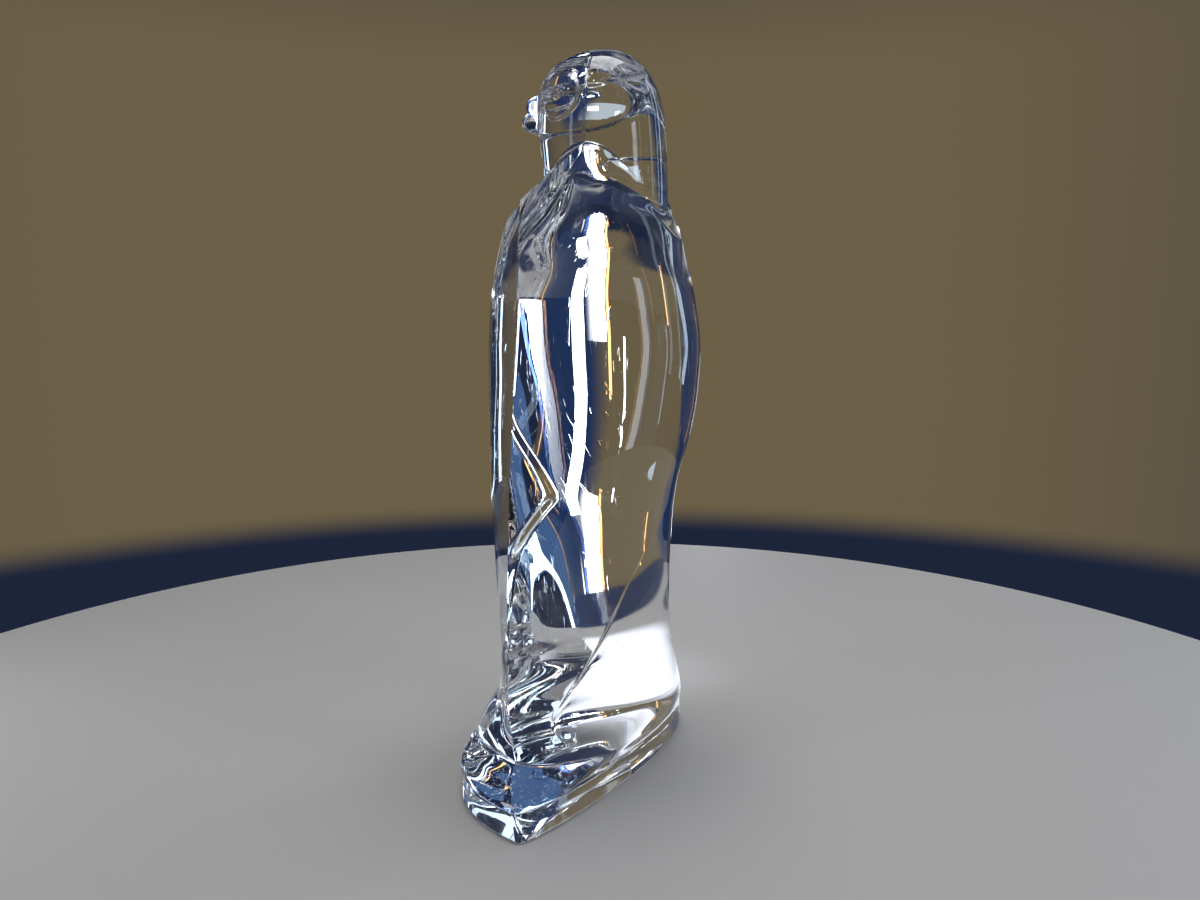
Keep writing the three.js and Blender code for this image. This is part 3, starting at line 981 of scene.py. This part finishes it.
@dataclass(frozen=True)
class Card:
    """A card with soft edges, dark or bright, like those photographers set around glass to give it form;
    this one glows with its own colour, casts no shadow and lights nothing, so it puts painted shade or
    painted light into the crystal.

    The camera sees it only through the crystal or as a reflection. Its half sizes are metres,
    across the turn first.
    """

    name: str
    turn: float
    reach: float
    up: float
    half: tuple
    painted_glow: CardGlow = CardGlow.NAVY
    solid: float = 0.55
    faded: float = 0.98
    lies: bool = False

    def make(self, studio: "Studio") -> bpy.types.Object:
        """Hangs or lays the card.

        Args:
            studio: the studio that it hangs in.

        Returns:
            The card.
        """
        middle = studio.spot(self.turn, self.reach, self.up)
        across = studio.spot(self.turn + 90.0, 1.0, 0.0) * self.half[0]
        along = studio.spot(self.turn, 1.0, 0.0) if self.lies else Vector((0.0, 0.0, 1.0))
        along = along * self.half[1]
        bpy.ops.object.select_all(action="DESELECT")
        bpy.ops.mesh.primitive_plane_add(size=1.0)
        card = bpy.context.object
        card.name = self.name
        corners = (-across - along, across - along, along - across, across + along)
        for vert, corner in zip(card.data.vertices, corners):
            vert.co = middle + corner
        card.data.materials.append(self.finish(middle, across, along))
        # Hidden from the camera, shadows and diffuse light: the card is only a painted reflection in the
        # crystal
        card.visible_camera = card.visible_shadow = card.visible_diffuse = False
        return card

    def finish(self, middle: Vector, across: Vector, along: Vector) -> bpy.types.Material:
        """Makes the card's material, which glows with its colour of painted shade or painted light and
        fades out towards its edges.

        Args:
            middle: the card's middle.
            across: half its width.
            along: half its height.

        Returns:
            The material.
        """
        material = PlainFinish(self.name, (0.01, 0.01, 0.02), 0.9).make()
        tree = material.node_tree
        shader = tree.nodes["Principled BSDF"]
        shader.inputs["Specular IOR Level"].default_value = 0.0
        # The card's colour is a glow: painted shade when dark, painted light when bright
        shader.inputs["Emission Color"].default_value = self.painted_glow.value
        shader.inputs["Emission Strength"].default_value = 1.0
        place = tree.nodes.new("ShaderNodeTexCoord")
        offset = tree.nodes.new("ShaderNodeVectorMath")
        offset.operation = "SUBTRACT"
        offset.inputs[1].default_value = tuple(middle)
        tree.links.new(place.outputs["Object"], offset.inputs[0])
        parts = tree.nodes.new("ShaderNodeCombineXYZ")
        for name, half in (("X", across), ("Y", along)):
            share = tree.nodes.new("ShaderNodeVectorMath")
            share.operation = "DOT_PRODUCT"
            share.inputs[1].default_value = tuple(half / half.length_squared)
            tree.links.new(offset.outputs["Vector"], share.inputs[0])
            tree.links.new(share.outputs["Value"], parts.inputs[name])
        away = tree.nodes.new("ShaderNodeVectorMath")
        away.operation = "LENGTH"
        tree.links.new(parts.outputs["Vector"], away.inputs[0])
        fade = soft_ramp(tree, away.outputs["Value"], self.faded, self.solid)
        tree.links.new(fade, shader.inputs["Alpha"])
        return material


@dataclass(frozen=True)
class PaintedBackdropGlow:
    """A backdrop whose look is almost all its own glow: a taupe patch of painted light beyond the bird
    that falls off to painted dark-blue shade at its sides, top and foot.

    The levels and the side limits are pairs of start and end, in metres from the wall's middle.
    """

    name: str
    middle: tuple
    taupe: tuple = (0.145, 0.114, 0.060, 1.0)
    navy: tuple = (0.010, 0.016, 0.040, 1.0)
    low: tuple = (-0.695, -0.645)
    high: tuple = (0.45, 0.0)
    side: tuple = (0.20, 1.12)

    def make(self) -> bpy.types.Material:
        """Makes the material.

        Returns:
            The material.
        """
        material = PlainFinish(self.name, (0.02, 0.02, 0.02), 0.9).make()
        tree = material.node_tree
        shader = tree.nodes["Principled BSDF"]
        shader.inputs["Specular IOR Level"].default_value = 0.0
        # The backdrop shows its own glow; its base colour is near black, so the lamps barely light it
        shader.inputs["Emission Strength"].default_value = 1.0
        place = tree.nodes.new("ShaderNodeTexCoord")
        parts = tree.nodes.new("ShaderNodeSeparateXYZ")
        tree.links.new(place.outputs["Object"], parts.inputs["Vector"])
        ahead = tree.nodes.new("ShaderNodeVectorMath")
        ahead.operation = "DOT_PRODUCT"
        ahead.inputs[1].default_value = self.middle
        tree.links.new(place.outputs["Object"], ahead.inputs[0])
        share = None
        for (start, end), source in ((self.low, parts.outputs["Z"]), (self.high, parts.outputs["Z"]),
                                     (self.side, ahead.outputs["Value"])):
            fade = soft_ramp(tree, source, start, end)
            if share is not None:
                both = tree.nodes.new("ShaderNodeMath")
                both.operation = "MULTIPLY"
                tree.links.new(share, both.inputs[0])
                tree.links.new(fade, both.inputs[1])
                share = both.outputs["Value"]
            else:
                share = fade
        # Painted light and shade: taupe glow where all three fades are full, dark navy beyond them
        colour = tree.nodes.new("ShaderNodeMix")
        colour.data_type = "RGBA"
        colour.inputs["A"].default_value = self.navy
        colour.inputs["B"].default_value = self.taupe
        tree.links.new(share, colour.inputs["Factor"])
        tree.links.new(colour.outputs["Result"], shader.inputs["Emission Color"])
        return material


@dataclass
class Studio:
    """Pale floor, a backdrop all round that glows with painted light and shade, soft lights, cards and
    the camera.
    """

    away: Vector = field(default_factory=lambda: Vector((0.5878, -0.8090, 0.0)))
    right: Vector = field(default_factory=lambda: Vector((-0.8090, -0.5878, 0.0)))
    floor_radius: float = 0.32
    floor_depth: float = 0.02
    floor_colour: tuple = (0.66, 0.64, 0.61)
    air_gap: float = 0.0003
    wall_radius: float = 1.2
    wall_height: float = 2.4
    wall_middle: float = 0.5
    taupe_turn: float = -6.0
    edges: int = 128
    room_colour: tuple = (0.18, 0.30, 0.80, 1.0)
    room_glow: float = 0.07
    camera_reach: float = 1.325 * HEIGHT
    camera_up: float = 0.644 * HEIGHT
    camera_pitch: float = 8.1
    camera_lens: float = 27.9
    camera_sensor: float = 36.0
    boxes: tuple = (
        SoftBox("top_box", 20, 0.05, 0.95, (0.50, 0.50), 5.2, Gel.WHITE),
        SoftBox("right_box_a", 55, 0.75, 0.36, (0.05, 0.75), 3.6, Gel.SKY),
        SoftBox("right_box_b", 66, 0.75, 0.36, (0.03, 0.75), 3.0, Gel.SKY),
        SoftBox("right_box_c", 84, 0.75, 0.36, (0.06, 0.75), 1.6, Gel.SKY),
        SoftBox("low_box", 100, 0.62, 0.07, (0.20, 0.40), 0.22, Gel.DEEP),
        SoftBox("low_strip", 92, 0.60, 0.10, (0.02, 0.30), 4.0, Gel.SKY),
        SoftBox("warm_strip", 109, 0.60, 0.36, (0.012, 0.20), 2.5, Gel.AMBER),
        SoftBox("key_strip", 121, 0.60, 0.14, (0.075, 0.50), 5.0, Gel.ICE),
        SoftBox("key_warm_edge", 126, 0.60, 0.14, (0.012, 0.50), 3.0, Gel.AMBER),
        SoftBox("key_blue_edge", 116, 0.60, 0.14, (0.014, 0.50), 3.0, Gel.BLUE),
        SoftBox("amber_strip", 33, 0.50, 0.10, (0.008, 0.20), 1.6, Gel.AMBER),
        SoftBox("left_low_box", -96, 0.36, 0.03, (0.12, 0.07), 8.0, Gel.ICE),
        SoftBox("left_strip", -120, 0.60, 0.30, (0.06, 0.50), 3.0, Gel.SKY),
        SoftBox("back_strip", 6.5, 0.95, -0.045, (0.135, 0.25), 9.0, Gel.ICE, -0.045),
        SoftBox("back_strip_thin", 14.0, 0.95, -0.04, (0.016, 0.24), 7.0, Gel.ICE, -0.04),
        SoftBox("back_strip_near", 11.4, 0.56, 0.082, (0.044, 0.080), 4.5, Gel.ICE, 0.082),
        SoftBox("back_warm_edge", 1.6, 0.95, -0.03, (0.014, 0.27), 2.5, Gel.AMBER, -0.03),
        SoftBox("back_blue_edge", 11.6, 0.95, -0.03, (0.030, 0.27), 2.6, Gel.BLUE, -0.03),
        SoftBox("back_amber_strip", -20, 0.62, 0.02, (0.006, 0.10), 1.8, Gel.AMBER, 0.02),
        SoftBox("fine_strip_a", 17, 0.95, 0.105, (0.008, 0.06), 8.0, Gel.ICE, 0.10),
        SoftBox("fine_strip_b", -3, 0.95, 0.100, (0.008, 0.06), 8.0, Gel.ICE, 0.10),
        SoftBox("head_haze", -2, 0.90, 0.275, (0.56, 0.080), 0.55, Gel.SKY, 0.23),
        SoftBox("head_strip_a", 6, 0.88, 0.262, (0.10, 0.016), 2.4, Gel.ICE, 0.23),
        SoftBox("head_strip_b", -9, 0.88, 0.290, (0.06, 0.030), 2.4, Gel.ICE, 0.23),
    )
    cards: tuple = (
        # Hanging cards that glow faint navy: painted dark reflections in the crystal
        Card("card_painted_shade_right", 19, 0.60, 0.12, (0.20, 0.24)),
        Card("card_painted_shade_left", -44, 0.55, 0.12, (0.16, 0.24)),
        # Dark card under the foot: a painted shadow under the crystal, seen through its foot
        Card("card_painted_shadow_under", -144, 0.0084, ON_FLOOR, (0.0215, 0.0545), CardGlow.NIGHT, 0.93, lies=True),
        # Dark cards on the floor: painted shade on the floor, seen only through the crystal
        Card("card_painted_shade_far", 0, 0.262, ON_FLOOR, (0.24, 0.085), CardGlow.INK, 0.75, lies=True),
        Card("card_painted_shade_near", -108, 0.105, ON_FLOOR, (0.070, 0.065), CardGlow.INK, 0.70, lies=True),
        Card("card_painted_shade_side", -56, 0.170, ON_FLOOR, (0.085, 0.075), CardGlow.INK, 0.70, lies=True),
        # Bright glowing card on the floor beyond the foot: a painted pool of light, seen only through the
        # crystal
        Card("card_painted_light_pool", 9, 0.082, ON_FLOOR, (0.062, 0.056), CardGlow.BRIGHT, 0.35, lies=True),
    )

    def spot(self, turn: float, reach: float, up: float) -> Vector:
        """A place around the bird.

        Args:
            turn: degrees around the bird, 0 beyond it and 90 on the camera's right.
            reach: metres from its upright axis.
            up: metres above the ground.

        Returns:
            The place in the part's frame.
        """
        turn = math.radians(turn)
        aside = self.right * (reach * math.sin(turn))
        return aside + self.away * (reach * math.cos(turn)) + Vector((0, 0, up))

    def set_up(self, origin: Vector) -> None:
        """Lays the floor, stands the backdrop and the cards, and hangs the lights.

        Args:
            origin: where the bird's upright axis meets the floor.
        """
        bpy.ops.object.select_all(action="DESELECT")
        bpy.ops.mesh.primitive_cylinder_add(
            vertices=self.edges, radius=self.floor_radius, depth=self.floor_depth,
            location=(0, 0, -0.5 * self.floor_depth - self.air_gap))
        floor = bpy.context.object
        floor.name = "studio_floor"
        floor.data.materials.append(PlainFinish("floor_pale", self.floor_colour).make())
        bpy.ops.object.select_all(action="DESELECT")
        bpy.ops.mesh.primitive_cylinder_add(
            vertices=self.edges, radius=self.wall_radius, depth=self.wall_height,
            end_fill_type="NOTHING", location=(0, 0, self.wall_middle))
        wall = bpy.context.object
        wall.name = "studio_backdrop"
        bpy.ops.object.shade_smooth()
        # The backdrop's painted taupe glow is centred on this direction
        middle = self.spot(self.taupe_turn, 1.0, 0.0)
        wall.data.materials.append(PaintedBackdropGlow("backdrop_painted_glow", tuple(middle)).make())
        [card.make(self) for card in self.cards]
        for box in self.boxes:
            box.make(self)
        self.world()
        self.camera(origin)
        self.look()

    def world(self) -> None:
        """Gives the dark room its faint blue light."""
        world = bpy.data.worlds.new("studio_world")
        bpy.context.scene.world = world
        world.use_nodes = True
        sky = world.node_tree.nodes["Background"]
        sky.inputs["Color"].default_value = self.room_colour
        sky.inputs["Strength"].default_value = self.room_glow

    def camera(self, origin: Vector) -> None:
        """Sets the camera at the photograph's place.

        Args:
            origin: where the bird's upright axis meets the floor.
        """
        data = bpy.data.cameras.new("camera")
        data.sensor_width = self.camera_sensor
        data.lens = self.camera_lens
        camera = bpy.data.objects.new("camera", data)
        bpy.context.scene.collection.objects.link(camera)
        camera.location = origin - self.away * self.camera_reach + Vector((0, 0, self.camera_up))
        pitch = math.radians(self.camera_pitch)
        look = self.away * math.cos(pitch) - Vector((0, 0, math.sin(pitch)))
        camera.rotation_mode = "QUATERNION"
        camera.rotation_quaternion = look.to_track_quat("-Z", "Y")
        data.clip_start = 0.01
        bpy.context.scene.camera = camera

    def look(self) -> None:
        """Sets the light paths and the view's tone."""
        scene = bpy.context.scene
        scene.cycles.max_bounces = 14
        scene.cycles.transmission_bounces = 12
        scene.cycles.glossy_bounces = 10
        scene.cycles.diffuse_bounces = 2
        scene.cycles.caustics_reflective = False
        scene.cycles.caustics_refractive = True
        scene.cycles.sample_clamp_indirect = 6.0
        scene.view_settings.view_transform = "Standard"
        scene.view_settings.look = "None"


def report(piece: bpy.types.Object) -> None:
    """Logs a finished piece's name and the size of its mesh."""
    mesh = piece.data
    log.info("piece %s: %d points, %d faces", piece.name, len(mesh.vertices), len(mesh.polygons))


def main() -> None:
    """Builds the scene."""
    falcon = FalconBody(FalconForm())
    body = falcon.build()
    body.data.materials.append(CrystalFinish().make())
    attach(body, "root")
    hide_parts("crystal_falcon")
    report(body)
    seeds = SealedSeeds(falcon.form, falcon).build()
    seeds.data.materials.append(SeedFinish().make())
    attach(seeds, "root")
    report(seeds)
    Studio().set_up(falcon.origin)


if __name__ == "__main__":
    logging.basicConfig(level=logging.INFO, format="%(message)s")
    main()
